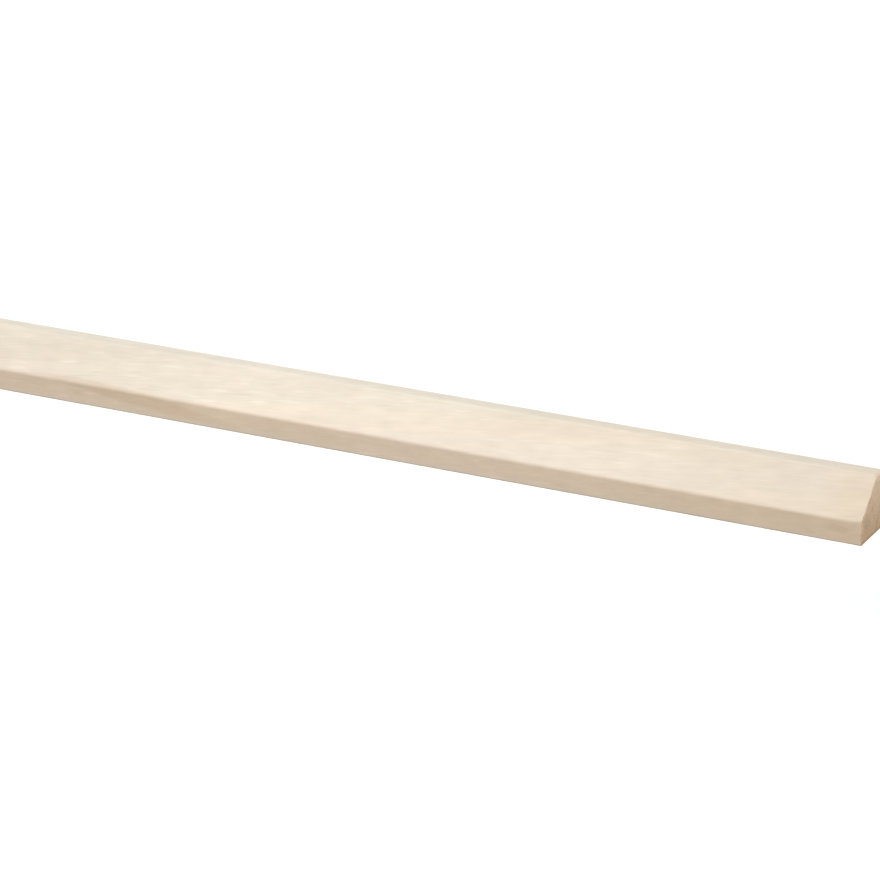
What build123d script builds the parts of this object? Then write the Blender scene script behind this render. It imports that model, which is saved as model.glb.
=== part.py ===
from build123d import *
import os

# Quarter round moulding with a flat bevel in place of the round, one planed length of pale wood.
# It lies on its base: X runs along the length, the toe faces -Y, the back is upright on +Y.
# The origin is the middle of the base. Sizes are in millimetres.

# Stock size
length = 2400.0  # square cut at both ends
height = 18.0  # base to land, up the back
depth = 16.0  # toe to back, across the base

# Moulded front
toe_height = 7.0  # upright strip below the bevel
land_width = 5.0  # level strip above the bevel
eased_radius = 1.5  # the bevel's two arrises, softened by the cutter and by sanding
broken_radius = 0.3  # toe foot, top of the back and foot of the back, only just broken

# Corners of the section, as (across, up), from the toe's foot over the top to the back's foot
front = -depth / 2
back = depth / 2
toe_foot = (front, 0)
toe_top = (front, toe_height)
land_front = (back - land_width, height)
back_top = (back, height)
back_foot = (back, 0)

with BuildPart() as quarter_round:
    with BuildSketch(Plane.YZ):
        with BuildLine():
            FilletPolyline(
                toe_foot,
                toe_top,
                land_front,
                back_top,
                back_foot,
                radius=[broken_radius, eased_radius, eased_radius, broken_radius, broken_radius],
                close=True,
            )
        make_face()
    extrude(amount=length / 2, both=True)

quarter_round.part.label = "quarter_round"

os.makedirs("parts", exist_ok=True)
export_step(quarter_round.part, "parts/quarter_round.step")
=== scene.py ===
"""Quarter round moulding with a flat bevel: planed pale hardwood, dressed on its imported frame."""

import math

import bpy
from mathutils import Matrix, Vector, noise


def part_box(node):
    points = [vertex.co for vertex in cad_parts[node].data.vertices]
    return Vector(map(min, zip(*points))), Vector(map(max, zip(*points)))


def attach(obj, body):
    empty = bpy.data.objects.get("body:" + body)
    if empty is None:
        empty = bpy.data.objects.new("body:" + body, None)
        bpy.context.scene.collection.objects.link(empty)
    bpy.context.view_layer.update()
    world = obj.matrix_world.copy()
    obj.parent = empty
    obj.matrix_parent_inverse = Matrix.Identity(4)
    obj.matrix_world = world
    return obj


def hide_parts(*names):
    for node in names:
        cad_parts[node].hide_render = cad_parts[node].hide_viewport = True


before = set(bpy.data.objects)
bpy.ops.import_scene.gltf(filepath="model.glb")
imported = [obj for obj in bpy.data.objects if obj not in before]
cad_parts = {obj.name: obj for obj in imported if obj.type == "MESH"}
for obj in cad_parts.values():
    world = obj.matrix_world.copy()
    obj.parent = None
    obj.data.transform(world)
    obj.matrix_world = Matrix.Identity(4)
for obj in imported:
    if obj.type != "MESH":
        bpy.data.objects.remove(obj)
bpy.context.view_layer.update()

NODE = "quarter_round"
MM = 0.001  # metres in a millimetre
LOW, HIGH = (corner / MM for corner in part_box(NODE))
HALF_LENGTH = HIGH.x

# The section, in millimetres
TOE_HEIGHT = 7.0
LAND_WIDTH = 5.0
EASED = 1.5  # radius that the cutter and sanding leave along the bevel's two arrises
BROKEN = 0.3  # radius of the three square arrises

# How sanding changes the eased radius along the length
EASED_DRIFT = 0.3  # mm, at most
DRIFT_WAVES = ((0.7, 55, 0), (0.3, 17, 5))  # share, length in mm and place in the noise of each
TOE_DRIFT = 1.5  # where in the noise the toe's arris is read
LAND_DRIFT = 6.5  # and where the land's is

# What the saw and knocks leave at the ends, in millimetres
CUT_EDGE = 0.1  # radius round each end
FRAY = 0.24  # how much the torn edge round each end varies
FRAY_LEVEL = 0.6  # how far back it lies on the whole, as a share of that
FRAY_WAVES = ((1.0, 0.45, 15.7), (0.6, 1.3, 37.4))  # share, waves in a mm and place in the noise
FRAY_ABOVE = 2.0  # the saw's table kept the fibres by the base whole, up to this height
FRAY_ALONG = 1.5  # how far from the end the torn edge reaches along the length
FRAY_INTO = 0.35  # and how far into the sawn face
WORN_CORNER = Vector((LOW.y, TOE_HEIGHT))  # the toe's top corner, which knocks have worn
WORN_WAY = Vector((0.5, 0.5))  # how far they moved it, across the section and up it
WORN_ALONG = 5.0  # how far from the end the wear reaches
WORN_AROUND = 4.0  # and how far round the corner
SAW_DEPTH = 0.03  # how unevenly the saw left each end
SAW_WAVES = (0.9, 0.35)  # waves in a mm, across the end and up it
SAW_RIM = 1 / 8  # share of the way in from the edge over which the unevenness sets in

# The mesh, in millimetres and counts
ARC_STEPS = 5
FLAT_STEP = 0.6
FLAT_SUPPORT = 0.15  # width of the first strip beside an arris, which keeps the flat's shading flat
STATION_STEP = 6.0
END_STATIONS = (0.0, 0.15, 0.3, 0.5, 0.8, 1.2, 1.8, 2.7)  # distances from the end's rounded edge
CAP_RINGS = (0.985, 0.95, 0.88, 0.78, 0.66, 0.53, 0.4, 0.27, 0.14)  # shares of the end's outline
PLANED, SAWN = 0, 1  # the two finishes' slots

# The map for baking: the girth's strip cut into rows, one over the other, with the two ends above
ROWS = 4
ROW_SHARE = 0.88
MAP_GAP = 0.003
LEFT_CAP = 0.5  # where the left end's map begins

# The grain: fibres lean a little back and up towards +X, and the growth layers stand nearly upright
FIBRE = Vector((1, 0.0847, 0.085)).normalized()
LAYER = FIBRE.cross(Vector((0, 0.32, 0.947))).normalized()  # square to a growth layer
BESIDE = FIBRE.cross(LAYER)
GRAIN = (FIBRE, LAYER, BESIDE)
LAYER_STEP = 2.9  # mm, from one growth layer to the next


def put(name, data):
    """A new object in the scene."""
    thing = bpy.data.objects.new(name, data)
    bpy.context.scene.collection.objects.link(thing)
    return thing


def rounded(before, corner, after, radius):
    """The points and outward normals of the arc that rounds one corner of the section."""
    into, out = (corner - before).normalized(), (after - corner).normalized()
    turn = into.angle(out)
    start = corner - into * radius * math.tan(turn / 2)
    first = Vector((-into.y, into.x))
    centre = start - first * radius
    arc = []
    for step in range(ARC_STEPS + 1):
        angle = -turn * step / ARC_STEPS
        c, s = math.cos(angle), math.sin(angle)
        normal = Vector((first.x * c - first.y * s, first.x * s + first.y * c))
        arc.append((centre + normal * radius, normal))
    return arc


def flat_between(start, end, normal, steps):
    """The points inside a flat, with a narrow strip beside the arris at each end."""
    along = end - start
    support = FLAT_SUPPORT / along.length
    shares = [support + (1 - 2 * support) * k / steps for k in range(steps + 1)]
    return [(start + along * share, normal) for share in shares]


def section(eased_toe, eased_land):
    """The section's points and outward normals, from the middle of the base by way of the toe."""
    corners = [
        (Vector((LOW.y, LOW.z)), BROKEN),
        (Vector((LOW.y, TOE_HEIGHT)), eased_toe),
        (Vector((HIGH.y - LAND_WIDTH, HIGH.z)), eased_land),
        (Vector((HIGH.y, HIGH.z)), BROKEN),
        (Vector((HIGH.y, LOW.z)), BROKEN),
    ]
    points = [corner for corner, radius in corners]
    middle = (points[0] + points[-1]) / 2
    down = Vector((0, -1))
    arcs = []
    for k, (corner, radius) in enumerate(corners):
        arcs.append(rounded(points[k - 1], corner, points[(k + 1) % len(points)], radius))
    half_base = round((points[-1] - points[0]).length / 2 / FLAT_STEP)
    outline = [(middle, down)] + flat_between(middle, arcs[0][0][0], down, half_base)
    for k, arc in enumerate(arcs):
        outline += arc
        if k + 1 < len(arcs):
            steps = round((points[k + 1] - points[k]).length / FLAT_STEP)
            outline += flat_between(arc[-1][0], arcs[k + 1][0][0], arc[-1][1], steps)
    outline += flat_between(arcs[-1][-1][0], middle, down, half_base)
    outline.append((middle, down))
    return outline


def girths(outline):
    """How far round the section each point lies."""
    total, found = 0.0, [0.0]
    for (before, _), (after, _) in zip(outline, outline[1:]):
        total += (after - before).length
        found.append(total)
    return found


def stations():
    """Where the rings stand along the length, and how far the cut edge's rounding draws each in."""
    places = []
    for step in range(ARC_STEPS):
        angle = math.pi / 2 * step / ARC_STEPS
        x = HALF_LENGTH - CUT_EDGE * (1 - math.cos(angle))
        places.append((x, CUT_EDGE * (1 - math.sin(angle))))
    places += [(HALF_LENGTH - CUT_EDGE - offset, 0.0) for offset in END_STATIONS]
    reach = HALF_LENGTH - STATION_STEP
    steps = 2 * round(reach / STATION_STEP)
    inner = [(reach * (1 - 2 * k / steps), 0.0) for k in range(steps + 1)]
    left = [(-x, drawn_in) for x, drawn_in in reversed(places)]
    return places + inner + left


def drift(x, arris):
    """A slow change along one arris, from -1 to 1."""
    found = 0.0
    for share, wave, at in DRIFT_WAVES:
        found += share * noise.noise(Vector((x / wave, arris, at)))
    return found


def fray(side, girth, height):
    """How far back the end's edge is torn, at a point round the section."""
    rough = 0.0
    for share, wave, at in FRAY_WAVES:
        rough += share * noise.noise(Vector((side, girth * wave, at)))
    return FRAY * max(0.0, FRAY_LEVEL + rough) * min(1.0, (height - LOW.z) / FRAY_ABOVE)


def wear(x, point):
    """How knocks have moved the surface by the toe's top corner, across the section and up it."""
    away = (point - WORN_CORNER) / WORN_AROUND
    share = math.hypot((HALF_LENGTH - abs(x)) / WORN_ALONG, away.x, away.y)
    return WORN_WAY * max(0.0, 1 - share) ** 2


def unevenness(side, point):
    """How far the saw went in at a point of an end, from 0 to 1."""
    across, up = SAW_WAVES
    return 0.5 + 0.5 * noise.noise(Vector((point.y * across, point.z * up, side)))


class Shell:
    """The moulding's mesh as it grows: its points, and each face's corners, finish and map."""

    def __init__(self):
        self.stations = stations()
        self.girth = girths(section(EASED, EASED))
        self.ring = len(self.girth) - 1  # points in a ring
        self.points = []
        self.faces = []
        self.slots = []
        self.map = []

    def face(self, corners, slot, spots):
        """One face. Corners are points by number, and spots are where they lie on the map."""
        self.faces.append(corners)
        self.slots.append(slot)
        self.map += spots

    def lay_rings(self):
        """A ring of points at each station, torn and worn near the ends."""
        for x, drawn_in in self.stations:
            eased = [EASED + EASED_DRIFT * drift(x, arris) for arris in (TOE_DRIFT, LAND_DRIFT)]
            side = math.copysign(1, x)
            near = max(0.0, 1 - (HALF_LENGTH - abs(x)) / FRAY_ALONG)
            for (point, normal), around in zip(section(*eased)[:-1], self.girth):
                point = point - normal * drawn_in + wear(x, point)
                torn = fray(side, around, point.y) * near * near
                self.points.append(Vector((x - side * torn, point.x, point.y)))

    def skin_sides(self):
        """The long faces, from ring to ring."""
        row_length = 2 * HALF_LENGTH / ROWS
        row_height = ROW_SHARE / ROWS
        scale_along = (1 - 2 * MAP_GAP) / row_length
        scale_around = (row_height - 2 * MAP_GAP) / self.girth[-1]
        for k in range(len(self.stations) - 1):
            x, next_x = self.stations[k][0], self.stations[k + 1][0]
            middle = (x + next_x) / 2
            row = min(ROWS - 1, int((middle + HALF_LENGTH) / row_length))
            slot = PLANED if abs(middle) < HALF_LENGTH - CUT_EDGE else SAWN
            near, far = k * self.ring, (k + 1) * self.ring
            for j in range(self.ring):
                after = (j + 1) % self.ring
                spots = []
                for along, around in ((x, j), (x, j + 1), (next_x, j + 1), (next_x, j)):
                    u = MAP_GAP + (along + HALF_LENGTH - row * row_length) * scale_along
                    v = row * row_height + MAP_GAP + self.girth[around] * scale_around
                    spots.append((u, v))
                self.face((near + j, near + after, far + after, far + j), slot, spots)

    def close_end(self, side, first):
        """One sawn end, in rings that shrink from the ring whose first point is given to a hub."""
        edge = self.points[first:first + self.ring]
        across = sum(point.y for point in edge) / self.ring
        up = sum(point.z for point in edge) / self.ring
        centre = Vector((side * HALF_LENGTH, across, up))
        loops = [range(first, first + self.ring)]
        for share in CAP_RINGS:
            loops.append(range(len(self.points), len(self.points) + self.ring))
            for point, around in zip(edge, self.girth):
                inner = centre.lerp(point, share)
                rim = min(1.0, (1 - share) / SAW_RIM)
                into = max(0.0, 1 - (point - inner).length / FRAY_INTO)
                sawn = SAW_DEPTH * unevenness(side, inner) * rim
                torn = fray(side, around, point.z) * into ** 2
                inner.x = side * (HALF_LENGTH - sawn - torn)
                self.points.append(inner)
        hub = len(self.points)
        self.points.append(centre - Vector((side * SAW_DEPTH / 2, 0, 0)))

        made = []
        for outer, inner in zip(loops, loops[1:]):
            for j in range(self.ring):
                after = (j + 1) % self.ring
                made.append((outer[j], inner[j], inner[after], outer[after]))
        last = loops[-1]
        made += [(last[j], hub, last[(j + 1) % self.ring]) for j in range(self.ring)]
        scale = (1 - ROW_SHARE - 2 * MAP_GAP) / (HIGH.z - LOW.z)
        left = MAP_GAP if side > 0 else LEFT_CAP
        for corners in made:
            corners = corners if side > 0 else corners[::-1]
            spots = []
            for point in (self.points[corner] for corner in corners):
                v = ROW_SHARE + MAP_GAP + (point.z - LOW.z) * scale
                spots.append((left + (point.y - LOW.y) * scale, v))
            self.face(corners, SAWN, spots)

    def build(self, name):
        """The finished object."""
        mesh = bpy.data.meshes.new(name)
        mesh.from_pydata([point * MM for point in self.points], [], self.faces)
        layer = mesh.uv_layers.new(name="OFBake")
        layer.uv.foreach_set("vector", [value for spot in self.map for value in spot])
        mesh.polygons.foreach_set("material_index", self.slots)
        mesh.polygons.foreach_set("use_smooth", [True] * len(self.faces))
        mesh.validate()
        return put(name, mesh)


def make_moulding():
    shell = Shell()
    shell.lay_rings()
    shell.skin_sides()
    shell.close_end(1, 0)
    shell.close_end(-1, (len(shell.stations) - 1) * shell.ring)
    return shell.build("moulding")


class Wire:
    """One value of a shader. Maths written on it adds the Math nodes."""

    def __init__(self, finish, socket):
        self.finish = finish
        self.socket = socket

    def __add__(self, other):
        return self.finish.math("ADD", self, other)

    def __radd__(self, other):
        return self.finish.math("ADD", other, self)

    def __sub__(self, other):
        return self.finish.math("SUBTRACT", self, other)

    def __rsub__(self, other):
        return self.finish.math("SUBTRACT", other, self)

    def __mul__(self, other):
        return self.finish.math("MULTIPLY", self, other)

    def __rmul__(self, other):
        return self.finish.math("MULTIPLY", other, self)

    def __truediv__(self, other):
        return self.finish.math("DIVIDE", self, other)

    def __abs__(self):
        return self.finish.math("ABSOLUTE", self)


class Finish:
    """The shader of a material or of the world. Its nodes come from node(), and give Wires."""

    def __init__(self, owner):
        owner.use_nodes = True
        self.owner = owner
        self.tree = owner.node_tree
        self.tree.nodes.clear()

    def node(self, kind, settings=None, sockets=None, output=0):
        made = self.tree.nodes.new("ShaderNode" + kind)
        for name, value in (settings or {}).items():
            setattr(made, name, value)
        for name, value in (sockets or {}).items():
            if isinstance(value, Wire):
                self.tree.links.new(value.socket, made.inputs[name])
            else:
                made.inputs[name].default_value = value
        return Wire(self, made.outputs[output])

    def math(self, operation, *values):
        return self.node("Math", {"operation": operation}, dict(enumerate(values)))

    def vector(self, operation, *values, output=0):
        return self.node("VectorMath", {"operation": operation}, dict(enumerate(values)), output)

    def join(self, x, y, z):
        return self.node("CombineXYZ", None, {"X": x, "Y": y, "Z": z})

    def ramp(self, value, low, high, to_low=0.0, to_high=1.0):
        """A smooth step: to_low where value is under low, to_high where it is over high."""
        sockets = {"Value": value, 1: low, 2: high, 3: to_low, 4: to_high}
        return self.node("MapRange", {"interpolation_type": "SMOOTHSTEP"}, sockets)

    def blend(self, share, first, second):
        """A colour between two colours."""
        return self.node("Mix", {"data_type": "RGBA"}, {0: share, 6: first, 7: second}, 2)

    def stain(self, share, colour, cast):
        """A colour multiplied by a cast where share is 1, and left as it is where share is 0."""
        return self.vector("MULTIPLY", colour, self.blend(share, UNSTAINED, cast))

    def vary(self, colour, shares, clouds):
        """A colour made darker and lighter by each of these clouds, by up to half its share."""
        tone = 1
        for share, cloud in zip(shares, clouds):
            tone = tone + share * (cloud - 0.5)
        return self.vector("MULTIPLY", colour, self.join(tone, tone, tone))

    def surface(self, colour, roughness, height, specular):
        """Ends the finish. Height is in millimetres."""
        bump = self.node("Bump", None, {"Height": height, "Distance": MM})
        sockets = {"Base Color": colour, "Roughness": roughness, "Normal": bump}
        sockets["Specular IOR Level"] = specular
        return self.end("OutputMaterial", self.node("BsdfPrincipled", None, sockets))

    def end(self, kind, shader):
        """Joins the shader to the output, and returns the material or world."""
        out = self.tree.nodes.new("ShaderNode" + kind)
        self.tree.links.new(shader.socket, out.inputs["Surface"])
        return self.owner


UNSTAINED = (1, 1, 1, 1)

# Clouds in the wood: sizes in mm along the fibres, across the growth layers and along them, then
# detail and roughness
SWAY = ((150, 14, 14), 1.0)
FIBRES = ((12, 0.9, 0.9), 2.0, 0.55)
THREADS = ((7, 0.14, 0.14), 1.0)
MOTTLE = ((8, 3.0, 3.0), 2.0, 0.55)
BANDS = ((260, 2.3, 30), 1.0)
HUES = ((60, 7, 7), 2.0)
PATCHES = ((90, 7, 7), 1.0)
END_PORES = ((5, 0.28, 0.28), 2.0, 0.7)
END_RAYS = ((5, 6, 0.22), 2.0)
END_MOTTLE = ((9, 1.8, 1.8), 2.0)
END_SPECKS = ((9, 0.95, 0.6), 1.0)
SWAY_DEPTH = 1.6  # mm, how far the growth layers wander

# Spindles: length and width of the cell that each has, its half width as a share of that, and the
# share of the cells that have one
WIDE_FLECKS = (14, 1.7, 0.42, 0.8)
FINE_FLECKS = (9, 1.1, 0.4, 0.7)
# The dark flecks are partly dark fibres and partly painted shadow beside the light flecks
DARK_FLECKS_AND_SHADOW = (18, 1.3, 0.4, 0.8)
VESSELS = (9, 0.6, 0.22, 0.5)
SPINDLE_CORE = 0.3  # share of the half width that has the spindle's full strength
FINE_SHARE = 0.6  # strength of the fine flecks beside the wide ones
DARK_ASIDE = (0.25, 0.5)  # mm, how far the dark flecks are moved across the layers and along them

# Ramps: where each begins and where it is full
PLANED_LATE = (0.55, 0.92)  # of the way through a growth layer
SAWN_LATE = (0.35, 0.95)
BANDED = (0.4, 0.65)
HUED = (0.35, 0.65)
PATCHED = (0.38, 0.62)
SPECKLED = (0.58, 0.7)
TORN_BACK = (0.03, 0.15)  # mm, how far back fibres look torn

# Planed wood
PALE = (0.797, 0.698, 0.572, 1)  # clean early wood
PALE_SHARE = 0.5
ROSY = (0.815, 0.697, 0.577, 1)
CREAM = (0.797, 0.708, 0.567, 1)
LATE = (0.68, 0.57, 0.435, 1)  # the dense end of a growth layer
LATE_SHARE = 0.12
FLECK_AND_HIGHLIGHT = (0.95, 0.87, 0.74, 1)  # cut fibres that stand light: their own paler colour, and a painted highlight on them
FLECK_SHARE = 0.42
VESSEL = (0.56, 0.45, 0.33, 1)  # an open vessel, seen as a thin dark line
VESSEL_SHARE = 0.24
DARK_SHARE = 0.15  # of the same colour in a dark fleck
TANNED = (0.89, 0.875, 0.845, 1)  # the cast that air and handling leave towards the ends
TAN_REACH = 160.0  # mm from the end, where the tan begins
TAN_PAST = 35.0  # mm beyond the end, where it would be full
TAN_WEAR = 0.6  # how much of the light flecks handling has worn off where the tan is full
DRIED = (1.012, 0.995, 0.972, 1)  # the cast of the wood that dried through the cut
DRIED_REACH = 15.0  # mm from the end, where that begins
DRIED_FULL = 7.0  # and where it is full
SCORCHED = (1.02, 0.98, 0.955, 1)  # the cast that the saw leaves beside the cut
SCORCH_REACH = 1.2  # mm from the end
FLOOR_BOUNCE_LIGHT = (0.97, 1.0, 1.06, 1)  # painted light: the cooler bounce light from the pale floor on the wood beside it
BOUNCE_REACH = 2.2  # mm above the floor
MINERAL = (0.86, 0.845, 0.82, 1)  # the cast of a darker streak in the wood
BROWN = (0.92, 0.885, 0.85, 1)  # of a browner one
WARM = (1.03, 1.01, 0.995, 1)  # of a warmer one
CLEAR = (1.03, 1.03, 1.03, 1)  # and of a paler one
PLANED_TONES = (0.09, 0.15, 0.06, 0.12)  # shares of the fibres, mottle, bands and threads
PLANED_ROUGH = 0.52
ROUGH_FIBRES = 0.1  # how much the fibres change the roughness
ROUGH_LATE = 0.05  # and how much late wood adds to it
PLANED_GLOSS = 0.3  # specular level
FIBRE_RELIEF = 0.015  # mm, how high the fibres stand
THREAD_RELIEF = 0.006
FLECK_RELIEF = 0.012
VESSEL_DEPTH = 0.02  # mm, how deep the vessels lie
DARK_DEPTH = 0.008  # and the dark flecks

# Streaks: middle, half sizes along the fibres, across the growth layers and along them, strength
# and cast
STREAKS = (
    ((1193, -8, 4.2), (4.5, 0.7, 2.3), 0.4, MINERAL),
    ((1010, -8, 3.5), (45, 2.2, 8), 0.25, MINERAL),
    ((865, 0, 9), (150, 40, 40), 0.3, MINERAL),
    ((1070, 8, 18), (90, 5, 12), 0.35, MINERAL),
    ((1112, 5, 18), (50, 6, 14), 0.33, MINERAL),
    ((1035, -5, 10), (220, 6, 5.5), 1.0, WARM),
    ((1165, -8, 3.5), (70, 2.5, 9), 0.8, WARM),
    ((1200, -3.5, 11.5), (16, 7, 12), 0.35, BROWN),
    ((1119, -2, 13), (32, 12, 14), 1.0, CLEAR),
    ((1008, -6, 9), (30, 5, 5), 1.0, CLEAR),
    ((924, -2, 12.5), (40, 4, 6), 0.2, MINERAL),
    ((1200, 3.5, 18), (1.4, 2.5, 2.5), 0.7, BROWN),
    ((1199, -8, 6), (3, 1.5, 1.8), 0.5, MINERAL),
)
STREAK_SOFT = 0.65  # share of the half size over which a streak fades out
STREAK_RAGGED = 0.5  # how much a cloud moves its edge

# A brown stain on the toe, which runs down from the arris and narrows to the foot
STAIN_MIDDLE = Vector((944, -8, 7))
STAIN_AXES = (Vector((1, 0, 7.3)) / 26, Vector((0, 1, 0)) / 1.5, Vector((0, 0, 1)) / 7)
STAIN_SOFT = 0.5

# Sawn ends
END_LOW = (0.565, 0.417, 0.276, 1)  # by the base
END_HIGH = (0.785, 0.655, 0.51, 1)  # by the land
END_LATE = (0.80, 0.77, 0.73, 1)  # the cast of the dense end of a growth layer
END_LATE_SHARE = 0.08
END_STREAKS = (
    ((1200, -3, 5.5), (10, 2.6, 4.5), 0.5, MINERAL),
    ((1200, -5.6, 6.6), (10, 2.6, 2.4), 0.6, MINERAL),
    ((1200, 4.3, 2.5), (10, 1.1, 5.5), 1.0, MINERAL),
)
SPECKED = (0.86, 0.83, 0.8, 1)  # the cast of the small dark specks
END_EDGE_SHADE = (0.91, 0.92, 0.91, 1)  # painted shade along the end under the bevel, where torn fibres lie in shade
EDGE_SHADE_REACH = 2.2  # mm below the bevel
TORN_AND_SHADED = (0.78, 0.78, 0.74, 1)  # the cast of torn fibres: their own darker colour, and painted shade among them
END_TOP = (1.12, 1.11, 1.15, 1)  # the cast that makes the end lighter and cooler towards the land
TOP_REACH = 2.5  # mm below the land
END_CONTACT_SHADE = (0.72, 0.76, 0.82, 1)  # painted shade: the darker, cooler contact shadow along the end's foot by the floor
CONTACT_SHADE_REACH = (0.2, 1.3)  # mm, up to where it is full and where it ends
CONTACT_SHADE_RAGGED = 1.5  # mm, how much the pores move that
END_TONES = (0.2, 0.08, 0.2)  # shares of the pores, rays and mottle
SAWN_ROUGH = 0.78
ROUGH_PORES = 0.1
SAWN_GLOSS = 0.2
PORE_RELIEF = 0.05  # mm
RAY_RELIEF = 0.02


class Grain:
    """Where a point lies in the wood, in mm: along the fibres, across the layers and along them."""

    def __init__(self, finish):
        self.finish = finish
        place = finish.node("TexCoord", output="Object")
        self.place = finish.vector("MULTIPLY", place, (1 / MM,) * 3)
        self.length = finish.node("SeparateXYZ", None, {0: self.place}, "X")
        self.across = finish.node("SeparateXYZ", None, {0: self.place}, "Y")
        self.height = finish.node("SeparateXYZ", None, {0: self.place}, "Z")
        self.fibre, self.layer, self.beside = self.split(self.place, GRAIN)
        self.layer = self.layer + SWAY_DEPTH * (self.cloud(*SWAY) - 0.5)

    def split(self, place, axes):
        """A place's parts along three axes."""
        return [self.finish.vector("DOT_PRODUCT", place, axis, output="Value") for axis in axes]

    def stretched(self, fibre, layer, beside, aside=(0, 0)):
        """The point for a texture whose features have these sizes, moved aside in the section."""
        across, along = aside
        return self.finish.join(
            self.fibre / fibre, (self.layer - across) / layer, (self.beside - along) / beside
        )

    def cloud(self, sizes, detail, roughness=0.5):
        """Smooth noise about 0.5, with features of these sizes."""
        sockets = {"Vector": self.stretched(*sizes), "Scale": 1.0}
        sockets.update({"Detail": detail, "Roughness": roughness})
        return self.finish.node("TexNoise", None, sockets, "Fac")

    def spindles(self, length, width, reach, kept, aside=(0, 0)):
        """Thin spindles along the fibres, 1 inside and 0 outside."""
        sockets = {"Vector": self.stretched(length, width, width, aside), "Scale": 1.0}
        spindle = self.finish.node("TexVoronoi", None, sockets, "Distance")
        colour = self.finish.node("TexVoronoi", None, sockets, "Color")
        chance = self.finish.node("SeparateColor", None, {0: colour}, "Red")
        shown = self.finish.ramp(chance, 1 - kept, 1.0)
        return shown * self.finish.ramp(spindle, reach * SPINDLE_CORE, reach, 1.0, 0.0)

    def layers(self):
        """How far each point is through its growth layer, from 0 to 1."""
        return self.finish.math("FRACT", self.layer / LAYER_STEP)

    def near_end(self, reach, past=0.0):
        """0 farther than this from the ends, rising towards them to reach 1 this far past them."""
        return self.finish.ramp(abs(self.length), HALF_LENGTH - reach, HALF_LENGTH + past)

    def patch(self, middle, axes, soft, ragged):
        """1 inside a patch and 0 outside. Each axis is a direction over the half size along it."""
        offset = self.finish.vector("SUBTRACT", self.place, middle)
        scaled = self.finish.join(*self.split(offset, axes))
        distance = self.finish.vector("LENGTH", scaled, output="Value")
        distance = distance + STREAK_RAGGED * (ragged - 0.5)
        return self.finish.ramp(distance, 1 - soft, 1.0, 1.0, 0.0)

    def streaked(self, colour, streaks, ragged):
        """A colour with the casts of these streaks."""
        for middle, sizes, strength, cast in streaks:
            axes = [axis / size for axis, size in zip(GRAIN, sizes)]
            share = strength * self.patch(middle, axes, STREAK_SOFT, ragged)
            colour = self.finish.stain(share, colour, cast)
        return colour


def planed_wood():
    """The planed long faces."""
    finish = Finish(bpy.data.materials.new("planed_wood"))
    grain = Grain(finish)
    fibres = grain.cloud(*FIBRES)
    threads = grain.cloud(*THREADS)
    mottle = grain.cloud(*MOTTLE)
    bands = grain.cloud(*BANDS)
    late = finish.ramp(grain.layers(), *PLANED_LATE) * finish.ramp(bands, *BANDED)
    patches = finish.ramp(grain.cloud(*PATCHES), *PATCHED)
    handled = grain.near_end(TAN_REACH, TAN_PAST)
    light = patches * grain.spindles(*WIDE_FLECKS) + FINE_SHARE * grain.spindles(*FINE_FLECKS)
    light = (1 - TAN_WEAR * handled) * light
    # Dark flecks: partly dark fibres, partly painted shadow
    dark = patches * grain.spindles(*DARK_FLECKS_AND_SHADOW, DARK_ASIDE)
    vessels = grain.spindles(*VESSELS)

    colour = finish.blend(finish.ramp(grain.cloud(*HUES), *HUED), ROSY, CREAM)
    colour = finish.blend(PALE_SHARE, colour, PALE)
    colour = finish.blend(LATE_SHARE * late, colour, LATE)
    # Light flecks: partly paler fibres, partly a painted highlight
    colour = finish.blend(FLECK_SHARE * light, colour, FLECK_AND_HIGHLIGHT)
    colour = finish.blend(DARK_SHARE * dark + VESSEL_SHARE * vessels, colour, VESSEL)
    colour = finish.stain(handled, colour, TANNED)
    colour = finish.stain(grain.near_end(DRIED_REACH, -DRIED_FULL), colour, DRIED)
    colour = finish.stain(grain.near_end(SCORCH_REACH), colour, SCORCHED)
    # Painted light: a cooler cast on the wood by the floor, standing in for the floor's bounce
    # light
    foot = finish.ramp(grain.height, 0.0, BOUNCE_REACH, 1.0, 0.0)
    colour = finish.stain(foot, colour, FLOOR_BOUNCE_LIGHT)
    colour = grain.streaked(colour, STREAKS, bands)
    stain = grain.patch(STAIN_MIDDLE, STAIN_AXES, STAIN_SOFT, bands)
    colour = finish.stain(stain, colour, BROWN)
    colour = finish.vary(colour, PLANED_TONES, (fibres, mottle, bands, threads))

    roughness = PLANED_ROUGH + ROUGH_FIBRES * (fibres - 0.5) + ROUGH_LATE * late
    height = FIBRE_RELIEF * fibres + THREAD_RELIEF * threads - VESSEL_DEPTH * vessels
    height = height + FLECK_RELIEF * light - DARK_DEPTH * dark
    return finish.surface(colour, roughness, height, PLANED_GLOSS)


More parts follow.
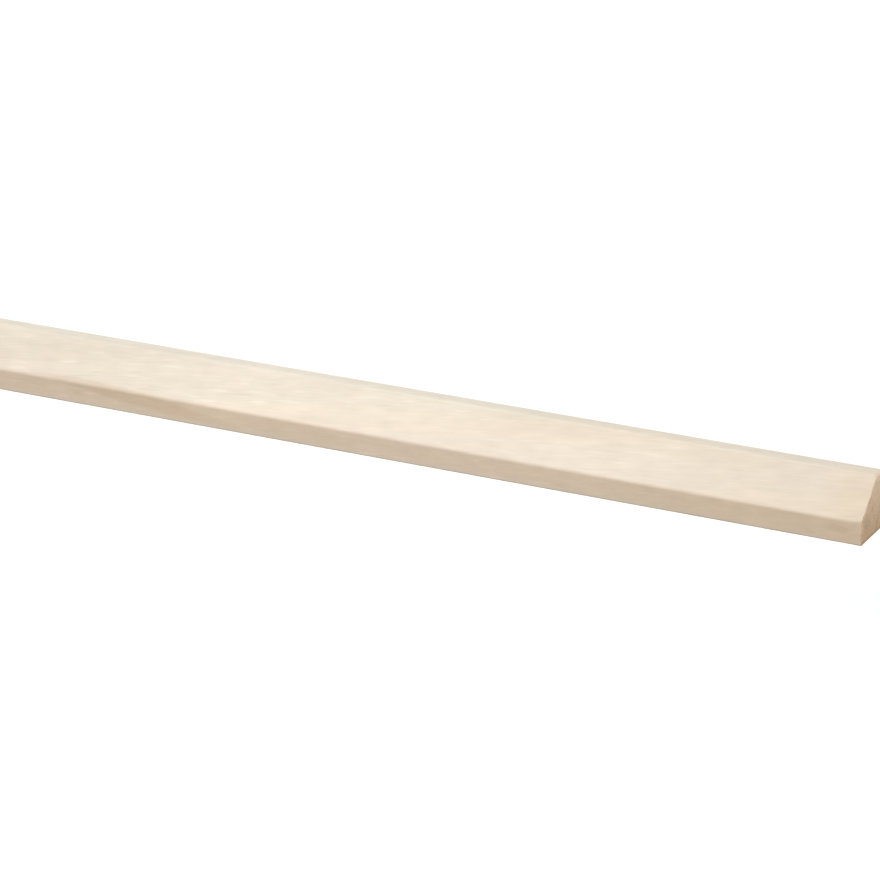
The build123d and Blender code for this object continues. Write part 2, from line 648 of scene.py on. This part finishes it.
def sawn_end():
    """The sawn ends, where the fibres stand open."""
    finish = Finish(bpy.data.materials.new("sawn_end"))
    grain = Grain(finish)
    late = finish.ramp(grain.layers(), *SAWN_LATE)
    pores = grain.cloud(*END_PORES)
    rays = grain.cloud(*END_RAYS)
    mottle = grain.cloud(*END_MOTTLE)

    colour = finish.blend(grain.height / (HIGH.z - LOW.z), END_LOW, END_HIGH)
    colour = finish.stain(END_LATE_SHARE * late, colour, END_LATE)
    colour = grain.streaked(colour, END_STREAKS, mottle)
    specks = finish.ramp(grain.cloud(*END_SPECKS), *SPECKLED)
    colour = finish.stain(specks, colour, SPECKED)
    under = (grain.across - grain.height + TOE_HEIGHT - LOW.y) / math.sqrt(2)  # below the bevel
    # Painted shade along the end's edge under the bevel
    colour = finish.stain(finish.ramp(under, 0.0, EDGE_SHADE_REACH, 1.0, 0.0), colour, END_EDGE_SHADE)
    # Torn fibres by the edge: their own darker colour, with painted shade among them
    torn = finish.ramp(HALF_LENGTH - abs(grain.length), *TORN_BACK)
    colour = finish.stain(torn, colour, TORN_AND_SHADED)
    top = finish.ramp(grain.height, HIGH.z - TOP_REACH, HIGH.z)
    colour = finish.stain(top, colour, END_TOP)
    # Painted shade: the end darkened along its foot, as a contact shadow
    foot = finish.ramp(grain.height + CONTACT_SHADE_RAGGED * (pores - 0.5), *CONTACT_SHADE_REACH, 1.0, 0.0)
    colour = finish.stain(foot, colour, END_CONTACT_SHADE)
    colour = finish.vary(colour, END_TONES, (pores, rays, mottle))

    roughness = SAWN_ROUGH + ROUGH_PORES * (pores - 0.5)
    height = PORE_RELIEF * pores + RAY_RELIEF * rays
    return finish.surface(colour, roughness, height, SAWN_GLOSS)


FLOOR_COLOUR = (0.96, 0.94, 0.92, 1)
FLOOR_REACH = 60  # metres
WHITE = (1, 1, 1, 1)
DOME_ABOVE = (0.094, 0.185, 0.26, 1)
DOME_LEVEL = (0.149, 0.037, 0.0, 1)
DOME_BELOW = (0.924, 0.859, 0.613, 1)  # what the pale floor gives back
DOME_RISE = (0.3, 0.54)  # how high the dome changes from level to above, on a scale of -1 to 1
DOME_DIP = (-0.75, -0.35)  # and from below to level
KEY_COLOUR = (1.189, 1.198, 1.195)
KEY_FROM = (0.44, -0.44, 0.78)  # from the right of the toe, and high
KEY_SPREAD = 40  # degrees, how wide the light looks from the strip
FILL_COLOUR = (0.62, 0.6, 0.58)
FILL_FROM = (-0.5, 0.8, 0.1)  # from behind, low on the left
FILL_SPREAD = 20


def make_floor():
    mesh = bpy.data.meshes.new("floor")
    corners = [(-1, -1), (1, -1), (1, 1), (-1, 1)]
    points = [(x * FLOOR_REACH, y * FLOOR_REACH, 0) for x, y in corners]
    mesh.from_pydata(points, [], [(0, 1, 2, 3)])
    finish = Finish(bpy.data.materials.new("floor"))
    paint = finish.node("BsdfDiffuse", None, {"Color": FLOOR_COLOUR})
    mesh.materials.append(finish.end("OutputMaterial", paint))
    floor = put("floor", mesh)
    floor.visible_diffuse = False  # the dome gives what the floor would
    floor.visible_glossy = False


def soft_light(name, colour, source, spread):
    """A far, broad light of even strength. Source points to it from the strip."""
    light = put(name, bpy.data.lights.new(name, "SUN"))
    light.data.color = colour
    light.data.energy = math.pi
    light.data.angle = math.radians(spread)
    light.rotation_mode = "QUATERNION"
    light.rotation_quaternion = Vector(source).to_track_quat("Z", "Y")
    return light


def light_studio():
    """A broad soft key, a weak fill from behind and a plain dome over a pale floor."""
    soft_light("key", KEY_COLOUR, KEY_FROM, KEY_SPREAD)
    fill = soft_light("fill", FILL_COLOUR, FILL_FROM, FILL_SPREAD)
    fill.visible_glossy = False  # it leaves no glare along the land
    dome = Finish(bpy.data.worlds.new("studio"))
    up = dome.node("SeparateXYZ", None, {0: dome.node("TexCoord", output="Generated")}, "Z")
    light = dome.blend(dome.ramp(up, *DOME_RISE), DOME_LEVEL, DOME_ABOVE)
    light = dome.blend(dome.ramp(up, *DOME_DIP), DOME_BELOW, light)
    seen = dome.node("LightPath", output="Is Camera Ray")
    colour = dome.blend(seen, light, WHITE)
    shader = dome.node("Background", None, {"Color": colour, "Strength": 1.0})
    bpy.context.scene.world = dome.end("OutputWorld", shader)


# The camera stands in front of the strip's +X end, and looks down and to the left across it
CAMERA_TURN = math.radians(27.2065)  # from straight across the strip
CAMERA_DIP = math.radians(20.2796)
CAMERA_FROM_END = Vector((301.63, -848.50, 361.99))  # mm, from the foot of the toe at the +X end
LENS = 138.59  # mm
SENSOR = 36  # mm wide
NEAR_CLIP = 0.01  # metres


def place_camera():
    data = bpy.data.cameras.new("camera")
    data.lens = LENS
    data.sensor_width = SENSOR
    data.clip_start = NEAR_CLIP
    data.clip_end = 2 * FLOOR_REACH
    camera = put("camera", data)
    flat = math.cos(CAMERA_DIP)
    look = Vector(
        (-math.sin(CAMERA_TURN) * flat, math.cos(CAMERA_TURN) * flat, -math.sin(CAMERA_DIP))
    )
    camera.location = (Vector((HIGH.x, LOW.y, LOW.z)) + CAMERA_FROM_END) * MM
    camera.rotation_mode = "QUATERNION"
    camera.rotation_quaternion = look.to_track_quat("-Z", "Y")
    bpy.context.scene.camera = camera


moulding = make_moulding()
moulding.data.materials.append(planed_wood())
moulding.data.materials.append(sawn_end())
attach(moulding, "root")
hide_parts(NODE)
make_floor()
light_studio()
place_camera()
bpy.context.scene.view_settings.view_transform = "Standard"
